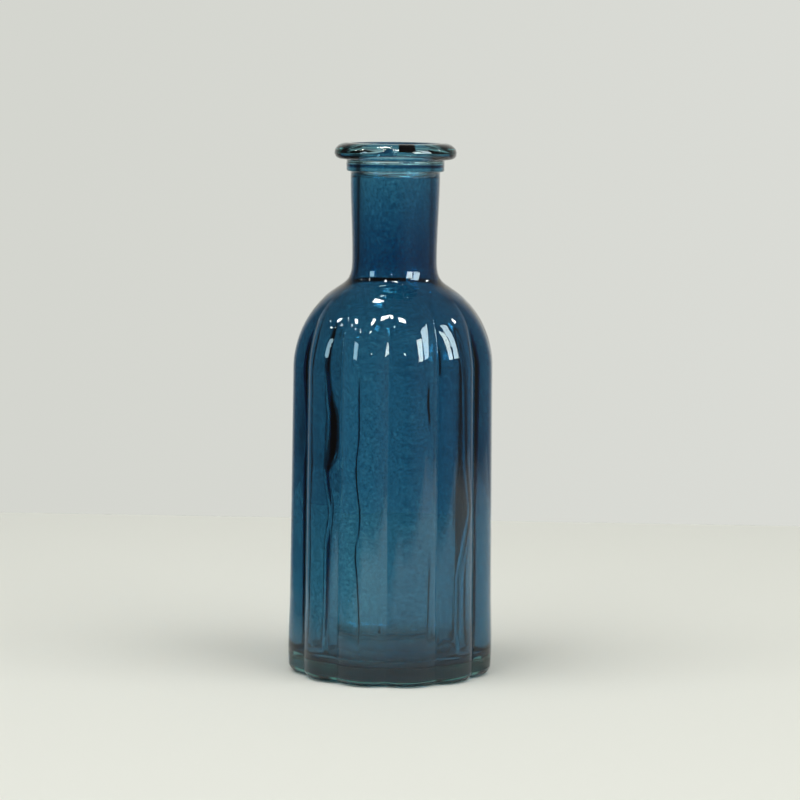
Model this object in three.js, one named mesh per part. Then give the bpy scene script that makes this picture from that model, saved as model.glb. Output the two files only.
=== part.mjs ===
// A fluted bottle-shaped bud vase of moulded glass, with a film of blue lacquer on its inside.
// Millimetres, +Z up. The origin is the middle of the foot, on the surface that the vase stands on.
import * as THREE from "three";

// Overall size of the glass.
const HEIGHT = 200;
const FOOT_RADIUS = 39.3;
const WALL_LOW_RADIUS = 38.95;
const WALL_TOP_RADIUS = 38.25;
const NECK_FOOT_RADIUS = 15.97;
const NECK_TOP_RADIUS = 16.82;
const COLLAR_RADIUS = 18.4;
const LIP_RADIUS = 22.97;
const LIP_CREST_RADIUS = 18.2;
const BORE_RADIUS = 13.4;
const CAVITY_RADIUS = 34.2;
const FLOOR_THICKNESS = 6.2;

// Heights where one stretch of the outside meets the next.
const FOOT_FLARE_TOP = 30;
const SHOULDER_START = 115.4;
const NECK_START = 156.4;
const COLLAR_BOTTOM = 189.4;
const COLLAR_TOP = 193.4;
const LIP_BOTTOM = 193.9;
const LIP_WIDEST = 196.3;
const MOUTH_LOW = 195.8;

// Roundings, in the plane of the outline.
const HEEL_ROUNDING = 3.45;
const SHOULDER_ROUNDING = 35.65;
const SHOULDER_ANGLE = (50 * Math.PI) / 180;
const SHOULDER_HOLD = 8.9;
const NECK_HOLD = 9.5;
const COLLAR_ROUNDING = 0.5;
const LIP_HOLD = 2.6;
const CAVITY_CORNER = 6;

// The shallow dome under the foot, which leaves a flat ring to stand on.
const PUNT_RADIUS = 26;
const PUNT_DEPTH = 3;

// Flutes: convex lobes side by side, which meet in sharp grooves. One groove faces -Y.
const FLUTE_COUNT = 12;
const LOBE_ROUNDING = 0.35;
const FLUTES_FULL_BELOW = 121;
const FLUTES_GONE_ABOVE = 147;

// The lacquer film is far thinner than this. It is drawn with a thickness and a gap that can be built.
const FILM_THICKNESS = 0.4;
const FILM_GAP = 0.3;
const FILM_TOP = 188;

const FACETS_PER_FLUTE = 6;
const FILM_FACETS = 24;

const QUARTER_TURN = Math.PI / 2;

// A stretch of outline is a curve in the (radius, height) plane, cut into steps.
function line(r0, z0, r1, z1) {
  const curve = new THREE.LineCurve(new THREE.Vector2(r0, z0), new THREE.Vector2(r1, z1));
  return curve.getPoints(1);
}

function arc(centreR, centreZ, radius, from, to, steps) {
  const clockwise = to < from;
  const curve = new THREE.EllipseCurve(centreR, centreZ, radius, radius, from, to, clockwise);
  return curve.getPoints(steps);
}

function bezier(points, steps) {
  const [start, first, second, end] = points.map(([r, z]) => new THREE.Vector2(r, z));
  return new THREE.CubicBezierCurve(start, first, second, end).getPoints(steps);
}

// Joins stretches end to end and leaves out the points that two of them share.
function join(stretches) {
  const outline = [];
  for (const point of stretches.flat()) {
    const last = outline[outline.length - 1];
    if (!last || last.distanceTo(point) > 1e-4) outline.push(point);
  }
  return outline;
}

// A big rounding of the body and the curve that eases it into the neck. Both walls have one.
function shoulder({ rounding, wallRadius, neckRadius, neckStart, steps }) {
  const crown = arc(wallRadius - rounding, SHOULDER_START, rounding, 0, SHOULDER_ANGLE, steps);
  const end = crown[crown.length - 1];
  const turn = [
    [end.x, end.y],
    [end.x - SHOULDER_HOLD * Math.sin(SHOULDER_ANGLE), end.y + SHOULDER_HOLD * Math.cos(SHOULDER_ANGLE)],
    [neckRadius, neckStart - NECK_HOLD],
    [neckRadius, neckStart],
  ];
  return [crown, bezier(turn, steps)];
}

// A parabola from the middle of the underside down to the ring.
function punt() {
  const middle = new THREE.Vector2(0, PUNT_DEPTH);
  const pull = new THREE.Vector2(PUNT_RADIUS / 2, PUNT_DEPTH);
  const edge = new THREE.Vector2(PUNT_RADIUS, 0);
  return new THREE.QuadraticBezierCurve(middle, pull, edge).getPoints(4);
}

// The underside, the rounded heel and the slight flare of the foot.
function foot() {
  const heelCentre = FOOT_RADIUS - HEEL_ROUNDING;
  const flare = [
    [FOOT_RADIUS, HEEL_ROUNDING],
    [FOOT_RADIUS + 0.45, 12],
    [WALL_LOW_RADIUS + 0.05, 22],
    [WALL_LOW_RADIUS, FOOT_FLARE_TOP],
  ];
  return [
    punt(),
    line(PUNT_RADIUS, 0, heelCentre, 0),
    arc(heelCentre, HEEL_ROUNDING, HEEL_ROUNDING, -QUARTER_TURN, 0, 3),
    bezier(flare, 3),
  ];
}

// The neck widens a little from its foot to the collar.
function neck() {
  const easing = 12;
  const flare = [
    [NECK_FOOT_RADIUS, NECK_START],
    [NECK_FOOT_RADIUS, NECK_START + easing],
    [NECK_TOP_RADIUS, COLLAR_BOTTOM - easing],
    [NECK_TOP_RADIUS, COLLAR_BOTTOM],
  ];
  return [bezier(flare, 3)];
}

// A plain raised band under the lip, with a square lower step.
function collar() {
  const centreR = COLLAR_RADIUS - COLLAR_ROUNDING;
  const centreZ = COLLAR_BOTTOM + COLLAR_ROUNDING;
  return [
    line(NECK_TOP_RADIUS, COLLAR_BOTTOM, centreR, COLLAR_BOTTOM),
    arc(centreR, centreZ, COLLAR_ROUNDING, -QUARTER_TURN, 0, 2),
    line(COLLAR_RADIUS, centreZ, COLLAR_RADIUS, COLLAR_TOP),
  ];
}

// The bead round the mouth: full at the side, domed on top, and rounded over into the bore.
function lip() {
  const underside = LIP_RADIUS - 2.2;
  const lowerCorner = [
    [underside, LIP_BOTTOM],
    [LIP_RADIUS - 0.9, LIP_BOTTOM],
    [LIP_RADIUS, LIP_WIDEST - 1.3],
    [LIP_RADIUS, LIP_WIDEST],
  ];
  const dome = [
    [LIP_RADIUS, LIP_WIDEST],
    [LIP_RADIUS, HEIGHT - 1.7],
    [LIP_CREST_RADIUS + LIP_HOLD, HEIGHT],
    [LIP_CREST_RADIUS, HEIGHT],
  ];
  const mouth = [
    [LIP_CREST_RADIUS, HEIGHT],
    [LIP_CREST_RADIUS - LIP_HOLD, HEIGHT],
    [BORE_RADIUS, HEIGHT - 1.6],
    [BORE_RADIUS, MOUTH_LOW],
  ];
  return [
    line(COLLAR_RADIUS, COLLAR_TOP, COLLAR_RADIUS + 1, LIP_BOTTOM),
    line(COLLAR_RADIUS + 1, LIP_BOTTOM, underside, LIP_BOTTOM),
    bezier(lowerCorner, 3),
    bezier(dome, 4),
    bezier(mouth, 4),
  ];
}

// The outside of the glass, from the middle of the underside up to the lip and into the mouth.
function outerOutline() {
  const body = shoulder({
    rounding: SHOULDER_ROUNDING,
    wallRadius: WALL_TOP_RADIUS,
    neckRadius: NECK_FOOT_RADIUS,
    neckStart: NECK_START,
    steps: 7,
  });
  const wall = line(WALL_LOW_RADIUS, FOOT_FLARE_TOP, WALL_TOP_RADIUS, SHOULDER_START);
  return join([...foot(), wall, ...body, ...neck(), ...collar(), ...lip()]);
}

// The inside of the glass, from the middle of the floor up the wall and the bore.
// A larger inset gives the same shape moved into the hollow.
function innerOutline(inset, topZ) {
  const wall = CAVITY_RADIUS - inset;
  const bore = BORE_RADIUS - inset;
  const floor = FLOOR_THICKNESS + inset;
  const corner = CAVITY_CORNER - inset;
  const glassThickness = WALL_TOP_RADIUS - CAVITY_RADIUS;
  const body = shoulder({
    rounding: SHOULDER_ROUNDING - glassThickness - inset,
    wallRadius: wall,
    neckRadius: bore,
    neckStart: NECK_START,
    steps: 5,
  });
  return join([
    line(0, floor, wall - corner, floor),
    arc(wall - corner, floor + corner, corner, -QUARTER_TURN, 0, 3),
    line(wall, floor + corner, wall, SHOULDER_START),
    ...body,
    line(bore, NECK_START, bore, topZ),
  ]);
}

// How far out a lobe reaches beside its crest, at an angle from -Y: 1 on a crest, least in a groove.
function lobeReach(angle) {
  const pitch = (2 * Math.PI) / FLUTE_COUNT;
  const turns = angle / pitch;
  const fromCrest = (turns - Math.floor(turns) - 0.5) * pitch;
  const centre = 1 - LOBE_ROUNDING;
  const across = centre * Math.sin(fromCrest);
  return centre * Math.cos(fromCrest) + Math.sqrt(LOBE_ROUNDING ** 2 - across ** 2);
}

// Draws the round sections of a turned wall in to lobes, from the heel up to the shoulder.
// The wall's points are the first ones of the outline.
function flute(geometry, outlinePoints, wallPoints) {
  const position = geometry.getAttribute("position");
  for (let index = 0; index < position.count; index += 1) {
    const x = position.getX(index);
    const y = position.getY(index);
    const z = position.getZ(index);
    const isUnderside = Math.hypot(x, y) < PUNT_RADIUS + 1;
    if (index % outlinePoints >= wallPoints || isUnderside) continue;
    const fade = THREE.MathUtils.smoothstep(z, FLUTES_FULL_BELOW, FLUTES_GONE_ABOVE);
    const drawnIn = (1 - lobeReach(Math.atan2(x, -y))) * (1 - fade);
    position.setXYZ(index, x * (1 - drawnIn), y * (1 - drawnIn), z);
  }
}

// The moulded glass: foot, fluted body, shoulder, neck, collar and lip in one piece with a thick floor.
function glassVessel() {
  const outside = outerOutline();
  const inside = innerOutline(0, MOUTH_LOW).reverse();
  const outline = join([outside, inside]);
  const facets = FLUTE_COUNT * FACETS_PER_FLUTE;
  const geometry = new THREE.LatheGeometry(outline, facets).rotateX(QUARTER_TURN);
  flute(geometry, outline.length, outside.length);
  const material = new THREE.MeshStandardMaterial({ color: 0xbfd4cf, roughness: 0.05, metalness: 0 });
  const mesh = new THREE.Mesh(geometry, material);
  mesh.name = "glass_vessel";
  return mesh;
}

// The lacquer sprayed inside: an open-topped liner that follows the hollow and stops below the collar.
function lacquerFilm() {
  const outside = innerOutline(FILM_GAP, FILM_TOP);
  const inside = innerOutline(FILM_GAP + FILM_THICKNESS, FILM_TOP).reverse();
  const outline = join([outside, inside]);
  const geometry = new THREE.LatheGeometry(outline, FILM_FACETS).rotateX(QUARTER_TURN);
  const material = new THREE.MeshStandardMaterial({ color: 0x1b4a66, roughness: 0.12, metalness: 0 });
  const mesh = new THREE.Mesh(geometry, material);
  mesh.name = "blue_lacquer_film";
  return mesh;
}

const group = new THREE.Group();
group.add(glassVessel());
group.add(lacquerFilm());

export default group;
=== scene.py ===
"""Looks of the fluted glass bud vase: clear moulded glass with a blue lacquer film inside."""
import math

import bpy
import numpy as np
from mathutils import Euler, Matrix, Vector, noise


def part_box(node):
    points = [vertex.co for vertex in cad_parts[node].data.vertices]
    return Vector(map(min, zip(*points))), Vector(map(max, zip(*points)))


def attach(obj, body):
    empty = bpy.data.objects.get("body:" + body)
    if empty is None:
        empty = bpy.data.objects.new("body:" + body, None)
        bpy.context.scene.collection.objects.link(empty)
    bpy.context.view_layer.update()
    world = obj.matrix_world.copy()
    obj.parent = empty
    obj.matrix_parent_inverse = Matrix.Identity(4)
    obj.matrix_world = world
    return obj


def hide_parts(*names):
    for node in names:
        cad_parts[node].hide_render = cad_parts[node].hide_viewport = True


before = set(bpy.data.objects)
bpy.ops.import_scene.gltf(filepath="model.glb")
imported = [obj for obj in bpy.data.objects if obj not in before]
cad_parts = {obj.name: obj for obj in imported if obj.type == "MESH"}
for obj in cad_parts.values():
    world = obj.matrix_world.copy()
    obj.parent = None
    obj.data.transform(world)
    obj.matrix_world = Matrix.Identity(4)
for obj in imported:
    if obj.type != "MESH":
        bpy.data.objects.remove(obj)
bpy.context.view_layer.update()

MM = 0.001
TURN = 2 * math.pi
QUARTER = math.pi / 2

# ---------------------------------------------------------------- driving dimensions, in metres

# The height is the CAD node's own. A hold is how far a curve keeps straight on before it bends away.
glass_low, glass_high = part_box("glass_vessel")
HEIGHT = glass_high.z - glass_low.z
FOOT_R = 39.3 * MM
WALL_LOW_R = 38.95 * MM
WALL_TOP_R = 38.25 * MM
NECK_FOOT_R = 15.97 * MM
NECK_TOP_R = 16.82 * MM
COLLAR_R = 18.4 * MM
LIP_R = 22.97 * MM
LIP_CREST_R = 18.2 * MM
BORE_R = 13.4 * MM
CAVITY_R = 34.2 * MM
FLOOR = 6.2 * MM

FOOT_FLARE_TOP = 30 * MM
SHOULDER_START = 115.4 * MM
NECK_START = 156.4 * MM
BORE_START = 158 * MM
COLLAR_BOTTOM = 189.4 * MM
COLLAR_TOP = 193.4 * MM
LIP_BOTTOM = 193.9 * MM
LIP_WIDEST = 196.3 * MM
MOUTH_LOW = 195.8 * MM
MOUTH_HOLD = 1.6 * MM

HEEL_ROUND = 3.45 * MM
SHOULDER_ROUND = 35.65 * MM
SHOULDER_ANGLE = math.radians(50)
SHOULDER_HOLD = 8.9 * MM
NECK_HOLD = 9.5 * MM
NECK_EASING = 12 * MM
COLLAR_ROUND = 0.5 * MM
COLLAR_CHAMFER = 1 * MM
LIP_UNDERSIDE_R = LIP_R - 2.2 * MM
LIP_HOLD = 2.6 * MM
CAVITY_CORNER = 6 * MM
PUNT_R = 26 * MM
PUNT_DEPTH = 3 * MM

FLUTES = 12
LOBE_ROUND = 0.35
GROOVE_ROUND = 0.004
FLUTES_FULL = 121 * MM
FLUTES_GONE = 147 * MM
STEPS_PER_FLUTE = 24
STEPS_PER_FOLD_WIDTH = 0.45
FOLD_REACH = 3
LEAST_SECTION_ANGLE = 0.001
WITHIN_CAD = 0.9994

# The uneven inside wall. The waves fade out towards the middle of the floor.
FOLLOW_DEPTH = 0.25 * MM
WAVE_DEPTH = 0.13 * MM
WAVES_AROUND = 90
WAVES_UP = 22
WAVE_SEED = 33.1
WAVE_FADE = (8 * MM, 20 * MM)
WALL_FADE = (20 * MM, 30 * MM)

# Folds in the inside wall, each an upright line where the wall steps in or out. The first four are crooked, and
# make dark streaks in the glass. The last is nearly straight, and only clears a dark band from the front view.
# A row is a height (mm), an angle from -Y (degrees), a step (mm) and a half width (degrees).
FOLDS = [
    [
        (0, -40.6, 0.25, 1.7), (14, -40.9, 0.35, 1.7), (30, -40.1, 0.38, 1.8), (52, -39.6, 0.42, 2.0),
        (58, -38.6, 0.2, 2.3), (66, -37.6, 0.2, 2.3), (72, -39.6, 0.35, 2.0), (80, -41.1, 0.4, 2.0),
        (85, -38.1, 0.8, 3.6), (92, -37.1, 1.0, 4.2), (100, -37.1, 0.9, 3.8), (106, -39.1, 0.6, 2.8),
        (114, -40.6, 0.4, 2.0), (128, -41.1, 0.35, 1.7), (136, -41.1, 0, 1.7),
    ],
    [
        (10, -16.5, 0, 0.8), (14, -16.5, 0.3, 0.8), (24, -16.5, 0.36, 0.8), (40, -17.9, 0.36, 0.8),
        (48, -19.3, 0.36, 0.8), (54, -18.6, 0.36, 0.8), (56, -17.3, 0.36, 0.8), (64, -16.5, 0.36, 0.8),
        (74, -18.6, 0.36, 0.8), (81, -19.3, 0.36, 0.8), (93, -17.3, 0.36, 0.8), (112, -17.9, 0.3, 0.8),
        (118, -17.9, 0, 0.8),
    ],
    [
        (10, 46.2, 0, 1.4), (17, 46.2, -0.3, 1.4), (40, 46.2, -0.3, 1.4), (47, 49.3, -0.3, 1.4),
        (63, 55.2, -0.3, 1.4), (69, 54.3, -0.3, 1.4), (83, 51.1, -0.3, 1.4), (109, 50.2, -0.27, 1.4),
        (122, 48.3, -0.25, 1.4), (132, 48.3, 0, 1.4),
    ],
    [
        (14, 24.2, 0, 0.9), (20, 24.2, -0.3, 0.9), (44, 25.1, -0.36, 0.9), (50, 25.1, 0, 0.9),
        (94, 24.8, 0, 1.0), (99, 24.4, -0.5, 1.0), (106, 23.2, -0.5, 1.0), (111, 23.7, -0.45, 1.0),
        (115, 24.3, 0, 1.0),
    ],
    [
        (10, 36.5, 0, 3.0), (20, 36.5, 0.3, 3.0), (60, 36.5, 0.3, 3.0), (108, 36.2, 0.3, 3.0),
        (126, 36.0, 0, 3.0),
    ],
]
# A step flattens out again this many half widths away.
FOLD_FADE = 7

# The film is a thin closed shell set into the inside wall, so that light meets it before it leaves the glass.
# Its edge is a point on the curve of the mouth, counted from the crest of the lip.
FILM_EDGE = 2
FILM_OUTSIDE = 0.16 * MM
FILM_INSIDE = 0.06 * MM


# ---------------------------------------------------------------- outlines

def line(r0, z0, r1, z1, steps=1):
    share = np.linspace(0, 1, steps + 1)[:, None]
    return np.array([r0, z0]) * (1 - share) + np.array([r1, z1]) * share


def arc(centre_r, centre_z, radius, start, end, steps):
    angle = np.linspace(start, end, steps + 1)
    return np.c_[centre_r + radius * np.cos(angle), centre_z + radius * np.sin(angle)]


def bezier(a, b, c, d, steps):
    t = np.linspace(0, 1, steps + 1)[:, None]
    a, b, c, d = (np.array(p, float) for p in (a, b, c, d))
    return a * (1 - t) ** 3 + 3 * b * t * (1 - t) ** 2 + 3 * c * t ** 2 * (1 - t) + d * t ** 3


def join(stretches):
    """Stretches end to end, without the points that two of them share."""
    points = np.vstack(stretches)
    apart = np.linalg.norm(np.diff(points, axis=0), axis=1) > 1e-7
    return points[np.r_[True, apart]]


def shoulder(rounding, wall, neck, neck_start, steps):
    """The body's big rounding and the curve that eases it into the neck."""
    crown = arc(wall - rounding, SHOULDER_START, rounding, 0, SHOULDER_ANGLE, steps)
    end_r, end_z = crown[-1]
    pull_r = end_r - SHOULDER_HOLD * math.sin(SHOULDER_ANGLE)
    pull_z = end_z + SHOULDER_HOLD * math.cos(SHOULDER_ANGLE)
    turn = bezier(
        (end_r, end_z),
        (pull_r, pull_z),
        (neck, neck_start - NECK_HOLD),
        (neck, neck_start),
        steps * 2 // 3,
    )
    return [crown, turn]


def punt():
    """The shallow dome pressed up into the underside."""
    share = np.linspace(0, 1, 15)
    return np.c_[PUNT_R * share, PUNT_DEPTH * (1 - share ** 2)]


def foot():
    """The underside, the rounded heel and the slight flare of the foot."""
    heel = FOOT_R - HEEL_ROUND
    return [
        punt(),
        line(PUNT_R, 0, heel, 0, 3),
        arc(heel, HEEL_ROUND, HEEL_ROUND, -QUARTER, 0, 10),
        bezier(
            (FOOT_R, HEEL_ROUND),
            (FOOT_R + 0.45 * MM, 12 * MM),
            (WALL_LOW_R + 0.05 * MM, 22 * MM),
            (WALL_LOW_R, FOOT_FLARE_TOP),
            12,
        ),
    ]


def neck_and_collar():
    """The neck, which widens a little upwards, and the plain band above it with its square lower step."""
    band_r, band_z = COLLAR_R - COLLAR_ROUND, COLLAR_BOTTOM + COLLAR_ROUND
    return [
        bezier(
            (NECK_FOOT_R, NECK_START),
            (NECK_FOOT_R, NECK_START + NECK_EASING),
            (NECK_TOP_R, COLLAR_BOTTOM - NECK_EASING),
            (NECK_TOP_R, COLLAR_BOTTOM),
            14,
        ),
        line(NECK_TOP_R, COLLAR_BOTTOM, band_r, COLLAR_BOTTOM, 2),
        arc(band_r, band_z, COLLAR_ROUND, -QUARTER, 0, 4),
        line(COLLAR_R, band_z, COLLAR_R, COLLAR_TOP, 3),
    ]


def lip():
    """The bead round the mouth, from the collar over its widest place to its crest."""
    return [
        line(COLLAR_R, COLLAR_TOP, COLLAR_R + COLLAR_CHAMFER, LIP_BOTTOM),
        line(COLLAR_R + COLLAR_CHAMFER, LIP_BOTTOM, LIP_UNDERSIDE_R, LIP_BOTTOM),
        bezier(
            (LIP_UNDERSIDE_R, LIP_BOTTOM),
            (LIP_R - 0.9 * MM, LIP_BOTTOM),
            (LIP_R, LIP_WIDEST - 1.3 * MM),
            (LIP_R, LIP_WIDEST),
            8,
        ),
        bezier(
            (LIP_R, LIP_WIDEST),
            (LIP_R, HEIGHT - 1.7 * MM),
            (LIP_CREST_R + LIP_HOLD, HEIGHT),
            (LIP_CREST_R, HEIGHT),
            16,
        ),
    ]


def mouth(outset):
    """From the crest of the lip over into the bore. An outset moves it into the glass."""
    return bezier(
        (LIP_CREST_R, HEIGHT - outset),
        (LIP_CREST_R - LIP_HOLD, HEIGHT - outset),
        (BORE_R + outset, HEIGHT - MOUTH_HOLD),
        (BORE_R + outset, MOUTH_LOW),
        16,
    )


def outside():
    """The outside of the glass, from the middle of the underside into the mouth."""
    return join([
        *foot(),
        line(WALL_LOW_R, FOOT_FLARE_TOP, WALL_TOP_R, SHOULDER_START, 20),
        *shoulder(SHOULDER_ROUND, WALL_TOP_R, NECK_FOOT_R, NECK_START, 36),
        *neck_and_collar(),
        *lip(),
        mouth(0),
    ])


def inside(outset):
    """The inside of the glass, from mid-floor up the bore. An outset moves it into the glass."""
    wall = CAVITY_R + outset
    bore = BORE_R + outset
    floor = FLOOR - outset
    corner = CAVITY_CORNER + outset
    rounding = SHOULDER_ROUND - (WALL_TOP_R - CAVITY_R) + outset
    return join([
        line(0, floor, wall - corner, floor, 8),
        arc(wall - corner, floor + corner, corner, -QUARTER, 0, 12),
        line(wall, floor + corner, wall, SHOULDER_START, 40),
        *shoulder(rounding, wall, bore, BORE_START, 30),
        line(bore, BORE_START, bore, MOUTH_LOW, 16),
    ])


def film_side(outset):
    """One side of the film, from the middle of the floor to its edge in the mouth."""
    return join([inside(outset), mouth(outset)[:FILM_EDGE:-1]])


# ---------------------------------------------------------------- sections

def section_angles():
    """Angles from -Y round the vase, closer together at the grooves and across the folds."""
    share = np.linspace(-1, 1, STEPS_PER_FLUTE + 1)[:-1]
    within = np.sin(share * QUARTER) / 2
    angles = ((np.arange(FLUTES)[:, None] + 0.5 + within[None, :]) * TURN / FLUTES).ravel()
    for fold in FOLDS:
        path = np.radians([row[1] for row in fold])
        width = np.radians(min(row[3] for row in fold))
        low, high = path.min() - FOLD_REACH * width, path.max() + FOLD_REACH * width
        angles = np.r_[angles, np.arange(low, high, width * STEPS_PER_FOLD_WIDTH)]
    angles = np.unique(np.round(angles % TURN, 5))
    return angles[np.r_[True, np.diff(angles) > LEAST_SECTION_ANGLE]]


def lobe_reach(angle):
    """How far out a lobe reaches: 1 on its crest, least in the slightly rounded groove beside it."""
    pitch = TURN / FLUTES
    from_crest = np.abs((angle / pitch) % 1 - 0.5) * pitch
    from_groove = np.hypot(pitch / 2 - from_crest, GROOVE_ROUND)
    from_crest = pitch / 2 - from_groove
    centre = 1 - LOBE_ROUND
    return centre * np.cos(from_crest) + np.sqrt(LOBE_ROUND ** 2 - (centre * np.sin(from_crest)) ** 2)


def fade(value, low, high):
    """0 up to the low value, 1 from the high one, smooth between."""
    share = np.clip((value - low) / (high - low), 0, 1)
    return share * share * (3 - 2 * share)


def fluted(radius, height, angle):
    """Draws a round section in to lobes below the shoulder, and leaves the dome under the foot round."""
    strength = 1 - fade(height, FLUTES_FULL, FLUTES_GONE)
    strength = strength * fade(radius, PUNT_R, PUNT_R + 1 * MM)
    return radius * (1 - (1 - lobe_reach(angle)) * strength) * WITHIN_CAD


def folded(height, angle):
    """How far out the folds push the inside wall."""
    total = 0
    here = height / MM
    for fold in FOLDS:
        levels, path, step, width = np.array(fold, float).T
        width = np.radians(np.interp(here, levels, width))
        off = (angle - np.radians(np.interp(here, levels, path)) + math.pi) % TURN - math.pi
        step = np.interp(here, levels, step, 0, 0) * MM
        total = total + step * np.tanh(off / width) * np.exp(-(off / (FOLD_FADE * width)) ** 2)
    return total


def wavy(radius, height, angle):
    """The inside wall as hot glass leaves it: a faint echo of the flutes, slow uneven waves and folds."""
    on_wall = fade(radius, *WALL_FADE)
    in_body = 1 - fade(height, FLUTES_FULL, FLUTES_GONE)
    follow = -FOLLOW_DEPTH * np.cos(angle * FLUTES) * in_body * on_wall
    where = zip(np.sin(angle) * radius, -np.cos(angle) * radius, height)
    waves = [
        noise.noise(Vector((x * WAVES_AROUND, y * WAVES_AROUND, z * WAVES_UP + WAVE_SEED)))
        for x, y, z in where
    ]
    waves = WAVE_DEPTH * np.array(waves) * fade(radius, *WAVE_FADE)
    return radius + follow + waves + folded(height, angle) * on_wall


def turned(name, stretches):
    """One closed mesh from outlines in order, each with its own rule for its sections."""
    angle = section_angles()
    count = len(angle)
    points, ring_start, is_middle = [], [], []
    for outline, rule in stretches:
        for r, z in outline:
            ring_start.append(len(points))
            is_middle.append(r < 1e-7)
            if is_middle[-1]:
                points.append((0, 0, z))
                continue
            reach = rule(np.full(count, r), np.full(count, z), angle)
            points += list(zip(reach * np.sin(angle), -reach * np.cos(angle), np.full(count, z)))
    faces = []
    for k in range(len(ring_start) - 1):
        a, b = ring_start[k], ring_start[k + 1]
        for i in range(count):
            j = (i + 1) % count
            if is_middle[k]:
                faces.append((a, b + j, b + i))
            elif is_middle[k + 1]:
                faces.append((a + i, a + j, b))
            else:
                faces.append((a + i, a + j, b + j, b + i))
    mesh = bpy.data.meshes.new(name)
    mesh.from_pydata(points, [], faces)
    mesh.validate()
    mesh.shade_smooth()
    piece = bpy.data.objects.new(name, mesh)
    bpy.context.scene.collection.objects.link(piece)
    return piece


# ---------------------------------------------------------------- materials

CLEAR_GLASS_TINT = (0.97, 0.99, 0.98, 1)
GLASS_IOR = 1.52
GLASS_DEPTH_COLOR = (0.26, 0.62, 0.60, 1)
GLASS_DEPTH_DENSITY = 54
STIPPLE_ROUGHNESS = 0.55
# The stipple is full up to the first value and gone from the second: height in the dome, radius on the
# ring, and height at the contact edge.
STIPPLE_DOME = (PUNT_DEPTH + 0.1 * MM, PUNT_DEPTH + 0.4 * MM)
STIPPLE_RING = (FOOT_R - HEEL_ROUND - 1 * MM, FOOT_R - HEEL_ROUND)
STIPPLE_EDGE = (0.7 * MM, 1.2 * MM)

# What one pass through the film lets by, and the film's density at each height and from side to side (mm).
BLUE_PASS = (0.125, 0.345, 0.50)
MOST_DENSE = 2.4
DENSITY_STEPS = 12
# The film's density by height, except the dense stripe at 191.5 mm and the dense top of the mouth from 197 mm
# up. These two are painted shade: dark lines in the collar and a dark band along the lip's top, where the glass
# itself has no blue.
FILM_DENSITY_AND_PAINTED_SHADE_UP = [
    (0, 0.78), (20, 0.80), (60, 0.92), (85, 1.06), (108, 0.98), (122, 0.98), (140, 1.1), (155, 1.5),
    (172, 1.2), (187, 0.85), (189.3, 0.8), (190.3, 0.5), (190.9, 0.6), (191.5, 2.2), (192.1, 0.2),
    (195.8, 0.2), (197, 0.9), (198.5, 2.2), (200, 2.3),
]
DENSITY_ACROSS = [(-39, 1.05), (-22, 0.95), (-10, 0.86), (0, 0.92), (8, 1.0), (25, 1.1), (39, 1.0)]
# Noise in the film: scale, detail and reach of the fine mottling and of the slow clouds.
MOTTLING = (1000, 2, 0.25)
CLOUDS = (30, 1, 0.07)
NOISE_SPAN = (0.3, 0.7)


def new_material(name):
    material = bpy.data.materials.new(name)
    material.use_nodes = True
    nodes = material.node_tree.nodes
    nodes.clear()
    output = nodes.new("ShaderNodeOutputMaterial")
    return material, nodes, material.node_tree.links, output


def ramp_node(nodes, stops):
    """A colour ramp with straight stretches between its stops."""
    ramp = nodes.new("ShaderNodeValToRGB")
    ramp.color_ramp.interpolation = "LINEAR"
    elements = ramp.color_ramp.elements
    while len(elements) < len(stops):
        elements.new(0.5)
    for element, (position, color) in zip(elements, stops):
        element.position = position
        element.color = (*color, 1)
    return ramp


def spanned(nodes, links, value, from_range, to_range=(0, 1)):
    """A value mapped from one range to another and held within it."""
    span = nodes.new("ShaderNodeMapRange")
    span.inputs["From Min"].default_value, span.inputs["From Max"].default_value = from_range
    span.inputs["To Min"].default_value, span.inputs["To Max"].default_value = to_range
    links.new(value, span.inputs["Value"])
    return span.outputs["Result"]


def combined(nodes, links, operation, first, second):
    node = nodes.new("ShaderNodeMath")
    node.operation = operation
    links.new(first, node.inputs[0])
    links.new(second, node.inputs[1])
    return node.outputs["Value"]


def place_on_piece(nodes, links):
    """The place on the piece in its own frame, whole and split into X, Y and Z."""
    place = nodes.new("ShaderNodeTexCoord")
    split = nodes.new("ShaderNodeSeparateXYZ")
    links.new(place.outputs["Object"], split.inputs["Vector"])
    return place.outputs["Object"], split.outputs


def stippled_underside(nodes, links):
    """Roughness: matt on the ring, in the dome under the foot and at the contact edge, none elsewhere."""
    place, split = place_on_piece(nodes, links)
    flat = nodes.new("ShaderNodeVectorMath")
    flat.operation = "MULTIPLY"
    flat.inputs[1].default_value = (1, 1, 0)
    away = nodes.new("ShaderNodeVectorMath")
    away.operation = "LENGTH"
    links.new(place, flat.inputs[0])
    links.new(flat.outputs["Vector"], away.inputs[0])
    dome = spanned(nodes, links, split["Z"], STIPPLE_DOME, (1, 0))
    ring = spanned(nodes, links, away.outputs["Value"], STIPPLE_RING, (1, 0))
    edge = spanned(nodes, links, split["Z"], STIPPLE_EDGE, (1, 0))
    under = combined(nodes, links, "MULTIPLY", dome, ring)
    matt = combined(nodes, links, "MAXIMUM", under, edge)
    return spanned(nodes, links, matt, (0, 1), (0, STIPPLE_ROUGHNESS))


def clear_glass():
    """Smooth glass with a slight green cast in its depth."""
    material, nodes, links, output = new_material("clear_glass")
    surface = nodes.new("ShaderNodeBsdfPrincipled")
    surface.inputs["Base Color"].default_value = CLEAR_GLASS_TINT
    surface.inputs["Transmission Weight"].default_value = 1
    surface.inputs["IOR"].default_value = GLASS_IOR
    links.new(stippled_underside(nodes, links), surface.inputs["Roughness"])
    absorb = nodes.new("ShaderNodeVolumeAbsorption")
    absorb.inputs["Color"].default_value = GLASS_DEPTH_COLOR
    absorb.inputs["Density"].default_value = GLASS_DEPTH_DENSITY
    links.new(surface.outputs["BSDF"], output.inputs["Surface"])
    links.new(absorb.outputs["Volume"], output.inputs["Volume"])
    return material


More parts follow.
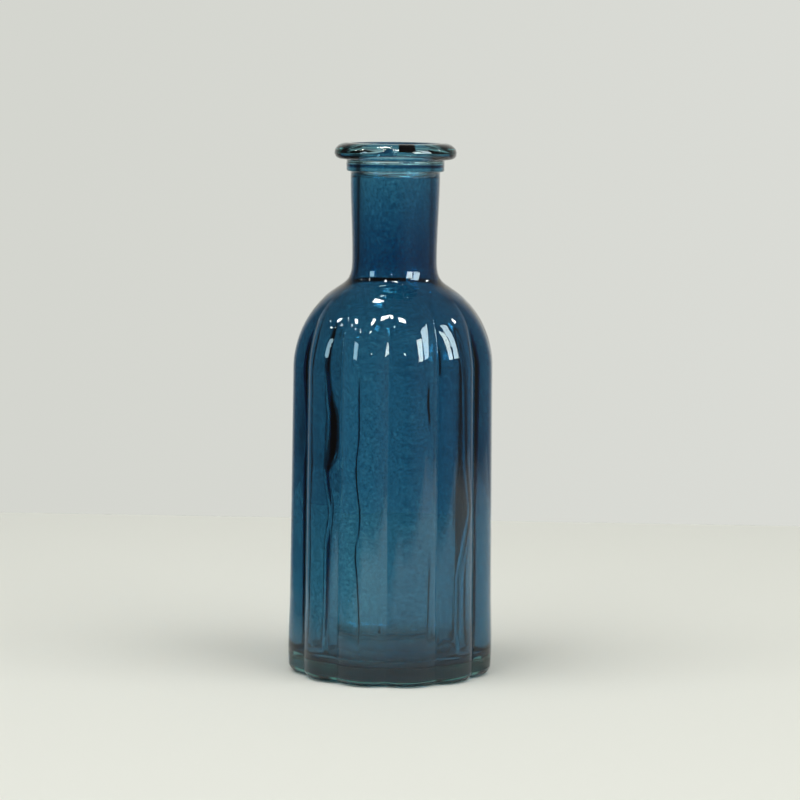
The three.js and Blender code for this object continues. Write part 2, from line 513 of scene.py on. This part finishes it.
def film_density(nodes, links):
    """The density of one face of the film, half of a whole pass through it."""
    place, split = place_on_piece(nodes, links)

    def along(axis, stops):
        low, high = stops[0][0], stops[-1][0]
        ramp = ramp_node(nodes, [((at - low) / (high - low), [d / 2] * 3) for at, d in stops])
        links.new(spanned(nodes, links, split[axis], (low * MM, high * MM)), ramp.inputs["Fac"])
        return ramp.outputs["Color"]

    def uneven(scale, detail, reach):
        grain = nodes.new("ShaderNodeTexNoise")
        grain.inputs["Scale"].default_value = scale
        grain.inputs["Detail"].default_value = detail
        links.new(place, grain.inputs["Vector"])
        return spanned(nodes, links, grain.outputs["Fac"], NOISE_SPAN, (1 - reach, 1 + reach))

    density = combined(nodes, links, "MULTIPLY", along("Z", FILM_DENSITY_AND_PAINTED_SHADE_UP), along("X", DENSITY_ACROSS))
    density = combined(nodes, links, "MULTIPLY", density, uneven(*MOTTLING))
    return combined(nodes, links, "MULTIPLY", density, uneven(*CLOUDS))


def blue_lacquer():
    """The sprayed film, denser in shoulder and neck, with dense stripes in the collar and over the top of the
    lip that are painted shade. A pass meets two faces with half the density each.
    """
    material, nodes, links, output = new_material("blue_lacquer")
    density = film_density(nodes, links)
    shares = [step / DENSITY_STEPS for step in range(DENSITY_STEPS + 1)]
    stops = [(share, [t ** (share * MOST_DENSE / 2) for t in BLUE_PASS]) for share in shares]
    passes = ramp_node(nodes, stops)
    tint = nodes.new("ShaderNodeBsdfTransparent")
    links.new(spanned(nodes, links, density, (0, MOST_DENSE / 4)), passes.inputs["Fac"])
    links.new(passes.outputs["Color"], tint.inputs["Color"])
    links.new(tint.outputs["BSDF"], output.inputs["Surface"])
    return material


# ---------------------------------------------------------------- pieces

glass = turned("glass_vessel_surface", [
    (outside(), fluted),
    (inside(0)[::-1], wavy),
])
glass.data.materials.append(clear_glass())
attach(glass, "root")
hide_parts("glass_vessel")

film = turned("blue_lacquer_film_surface", [
    (film_side(FILM_OUTSIDE), wavy),
    (film_side(FILM_INSIDE)[::-1], wavy),
])
film.data.materials.append(blue_lacquer())
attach(film, "root")
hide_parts("blue_lacquer_film")


# ---------------------------------------------------------------- floor

FLOOR_COLOR = (0.8, 0.81, 0.75, 1)
FLOOR_ROUGHNESS = 0.9
FLOOR_SPECULAR = 0.2
FLOOR_HALF = 1.6
FLOOR_BACK = 0.37
FLOOR_DROP = 0.0002
# The stretch of table that shows in reflections: its sides, its front and how far each fades.
REFLECTED_LEFT, REFLECTED_RIGHT, REFLECTED_FRONT = -0.22, 0.75, -0.46
REFLECTED_DROP = 0.0001
REFLECTED_FADES = [
    ("X", REFLECTED_LEFT, 0.12),
    ("X", REFLECTED_RIGHT, -0.2),
    ("Y", REFLECTED_FRONT, 0.14),
]


def pale_floor(name, fades):
    """A matt pale table top, which turns clear towards each edge in the list: axis, edge, width inwards."""
    material, nodes, links, output = new_material(name)
    surface = nodes.new("ShaderNodeBsdfPrincipled")
    surface.inputs["Base Color"].default_value = FLOOR_COLOR
    surface.inputs["Roughness"].default_value = FLOOR_ROUGHNESS
    surface.inputs["Specular IOR Level"].default_value = FLOOR_SPECULAR
    shader = surface.outputs["BSDF"]
    _, split = place_on_piece(nodes, links)
    for axis, edge, width in fades:
        clear = nodes.new("ShaderNodeBsdfTransparent")
        blend = nodes.new("ShaderNodeMixShader")
        links.new(spanned(nodes, links, split[axis], (edge, edge + width)), blend.inputs["Fac"])
        links.new(clear.outputs["BSDF"], blend.inputs[1])
        links.new(shader, blend.inputs[2])
        shader = blend.outputs["Shader"]
    links.new(shader, output.inputs["Surface"])
    return material


def table_top(name, left, right, front, drop, material):
    """A plain rectangle of table top."""
    outline = [(left, front), (right, front), (right, FLOOR_BACK), (left, FLOOR_BACK)]
    corners = [(x, y, -drop) for x, y in outline]
    mesh = bpy.data.meshes.new(name)
    mesh.from_pydata(corners, [], [(0, 1, 2, 3)])
    mesh.materials.append(material)
    floor = bpy.data.objects.new(name, mesh)
    bpy.context.scene.collection.objects.link(floor)
    return floor


def floors():
    """The table top, and the stretch of it that shows in reflections, which fades out at its edges."""
    plain = pale_floor("pale_floor", [])
    floor = table_top("floor", -FLOOR_HALF, FLOOR_HALF, -FLOOR_HALF, FLOOR_DROP, plain)
    floor.visible_glossy = False
    fading = pale_floor("pale_floor_fading", REFLECTED_FADES)
    reflected = table_top(
        "floor_reflected", REFLECTED_LEFT, REFLECTED_RIGHT, REFLECTED_FRONT, REFLECTED_DROP, fading
    )
    for ray in ("camera", "diffuse", "transmission", "volume_scatter", "shadow"):
        setattr(reflected, f"visible_{ray}", False)


# ---------------------------------------------------------------- light

# Radiances of the soft surround.
WALL = (0.68, 0.69, 0.65)
THROUGH = (0.30, 0.31, 0.30)
HIGH = (0.19, 0.19, 0.19)
AMBIENT = (0.30, 0.30, 0.28)
ROOM_LEFT = (0.09, 0.09, 0.09)
ROOM_RIGHT = (0.22, 0.22, 0.22)
BACKDROP_LEFT = (0.66, 0.67, 0.625)
BACKDROP_RIGHT = (0.71, 0.72, 0.68)
BACKDROP_HALF = 0.16
NONE, ALL = (0, 0, 0), (1, 1, 1)

# Soft lamps that light the floor only: name, azimuth, elevation, radiance.
SOFT_LAMPS = [("key", -50, 60, 2.73), ("fill", 60, 50, 2.29)]
SOFT_LAMP_AWAY = 2.0
SOFT_LAMP_SIZE = 1.6

# Window panes, seen only in the glass: azimuth, elevation, width, height, radiance.
WINDOWS = [
    (45, 24, 0.36, 0.68, (13.0, 15.0, 14.5)),
    (65, 28, 0.46, 0.90, (9.6, 12.3, 13.2)),
    (-60, 19, 0.34, 0.45, (5.0, 8.0, 9.5)),
]
# Small lamps, seen only in the glass: azimuth, elevation, width, height.
LAMPS = [
    (-130, 77, 0.34, 0.22),
    (-29, 59, 0.12, 0.20),
    (5, 62, 0.26, 0.16),
    (-79, 45, 0.14, 0.12),
    (109, 38, 0.10, 0.14),
    (-6, 20, 0.04, 0.04),
    (-24, 46, 0.04, 0.06),
    (-103, 36, 0.05, 0.05),
    (-86, 35, 0.05, 0.05),
    (-73, 38, 0.05, 0.05),
    (-57, 41, 0.05, 0.05),
]
LAMP_RADIANCE = 40
LAMP_COLOR = (1.0, 0.97, 0.92)
PANEL_AWAY = 1.5
SHOULDER_LEVEL = 0.13


def soft_world():
    """Pale walls behind the vase, a dim room in front of it, and an even pale backdrop for the camera."""
    world = bpy.data.worlds.new("soft_light")
    world.use_nodes = True
    nodes, links = world.node_tree.nodes, world.node_tree.links
    place = nodes.new("ShaderNodeTexCoord")
    split = nodes.new("ShaderNodeSeparateXYZ")
    path = nodes.new("ShaderNodeLightPath")
    links.new(place.outputs["Generated"], split.inputs["Vector"])

    def by(axis, stops, reach=1):
        """A colour by one component of the direction, from minus its reach to its reach."""
        ramp = ramp_node(nodes, stops)
        links.new(spanned(nodes, links, split.outputs[axis], (-reach, reach)), ramp.inputs["Fac"])
        return ramp.outputs["Color"]

    def even(color):
        return by("Z", [(0, color), (1, color)])

    def mix(factor, first, second):
        node = nodes.new("ShaderNodeMix")
        node.data_type = "RGBA"
        links.new(factor, node.inputs["Factor"])
        links.new(first, node.inputs[6])
        links.new(second, node.inputs[7])
        return node.outputs[2]

    side = by("X", [(0, ROOM_LEFT), (0.5, ROOM_LEFT), (0.85, ROOM_RIGHT), (1, ROOM_RIGHT)])
    behind = by("Y", [(0, NONE), (0.82, NONE), (0.98, ALL), (1, ALL)])
    room = mix(behind, side, even(WALL))
    through = by("Y", [(0, THROUGH), (0.5, THROUGH), (0.8, WALL), (1, WALL)])
    low = by("Z", [(0, ALL), (0.53, ALL), (0.6, NONE), (1, NONE)])
    seen_through = mix(low, even(HIGH), through)
    refracted = mix(path.outputs["Is Transmission Ray"], even(AMBIENT), seen_through)
    unseen = mix(path.outputs["Is Glossy Ray"], refracted, room)
    backdrop = by("X", [(0, BACKDROP_LEFT), (1, BACKDROP_RIGHT)], BACKDROP_HALF)
    color = mix(path.outputs["Is Camera Ray"], unseen, backdrop)
    links.new(color, nodes["Background"].inputs["Color"])
    bpy.context.scene.world = world


def panel(name, azimuth, elevation, away, width, height, radiance, color, for_floor):
    """A rectangular light that faces the vase from the given direction, at the height of its shoulder."""
    data = bpy.data.lights.new(name, "AREA")
    data.shape = "RECTANGLE"
    data.size, data.size_y = width, height
    data.color = color
    data.energy = radiance * math.pi * width * height
    light = bpy.data.objects.new(name, data)
    bpy.context.scene.collection.objects.link(light)
    a, e = math.radians(azimuth), math.radians(elevation)
    direction = Vector((math.sin(a) * math.cos(e), -math.cos(a) * math.cos(e), math.sin(e)))
    light.location = Vector((0, 0, SHOULDER_LEVEL)) + direction * away
    light.rotation_euler = direction.to_track_quat("Z", "Y").to_euler()
    light.visible_camera = False
    light.visible_diffuse = for_floor
    light.visible_glossy = not for_floor
    light.visible_transmission = not for_floor


def lights():
    size = SOFT_LAMP_SIZE
    for name, azimuth, elevation, radiance in SOFT_LAMPS:
        panel(name, azimuth, elevation, SOFT_LAMP_AWAY, size, size, radiance, ALL, True)
    for number, (azimuth, elevation, width, height, radiance) in enumerate(WINDOWS):
        panel(f"window_{number}", azimuth, elevation, PANEL_AWAY, width, height, 1, radiance, False)
    for number, (azimuth, elevation, width, height) in enumerate(LAMPS):
        name = f"lamp_{number}"
        panel(name, azimuth, elevation, PANEL_AWAY, width, height, LAMP_RADIANCE, LAMP_COLOR, False)


# ---------------------------------------------------------------- camera

LENS = 132.25
SENSOR_WIDTH = 36
CAMERA_AZIMUTH, CAMERA_PITCH, CAMERA_ROLL = (math.radians(a) for a in (2.3, 6.504, 0.63))
CAMERA_AWAY, CAMERA_ASIDE, CAMERA_UP = 1.1056, 0.00266, 0.229


def long_lens_camera():
    """A long lens a little above the rim's height, 1.1 m away, that looks slightly down."""
    data = bpy.data.cameras.new("camera")
    data.sensor_width = SENSOR_WIDTH
    data.lens = LENS
    camera = bpy.data.objects.new("camera", data)
    bpy.context.scene.collection.objects.link(camera)
    across = Vector((math.cos(CAMERA_AZIMUTH), math.sin(CAMERA_AZIMUTH), 0))
    back = Vector((math.sin(CAMERA_AZIMUTH), -math.cos(CAMERA_AZIMUTH), 0))
    place = back * CAMERA_AWAY + across * CAMERA_ASIDE + Vector((0, 0, CAMERA_UP))
    turn = Euler((QUARTER - CAMERA_PITCH, 0, CAMERA_AZIMUTH)).to_matrix().to_4x4()
    camera.matrix_world = Matrix.Translation(place) @ turn @ Matrix.Rotation(CAMERA_ROLL, 4, "Z")
    bpy.context.scene.camera = camera


floors()
soft_world()
lights()
long_lens_camera()
bpy.context.scene.view_settings.view_transform = "Standard"
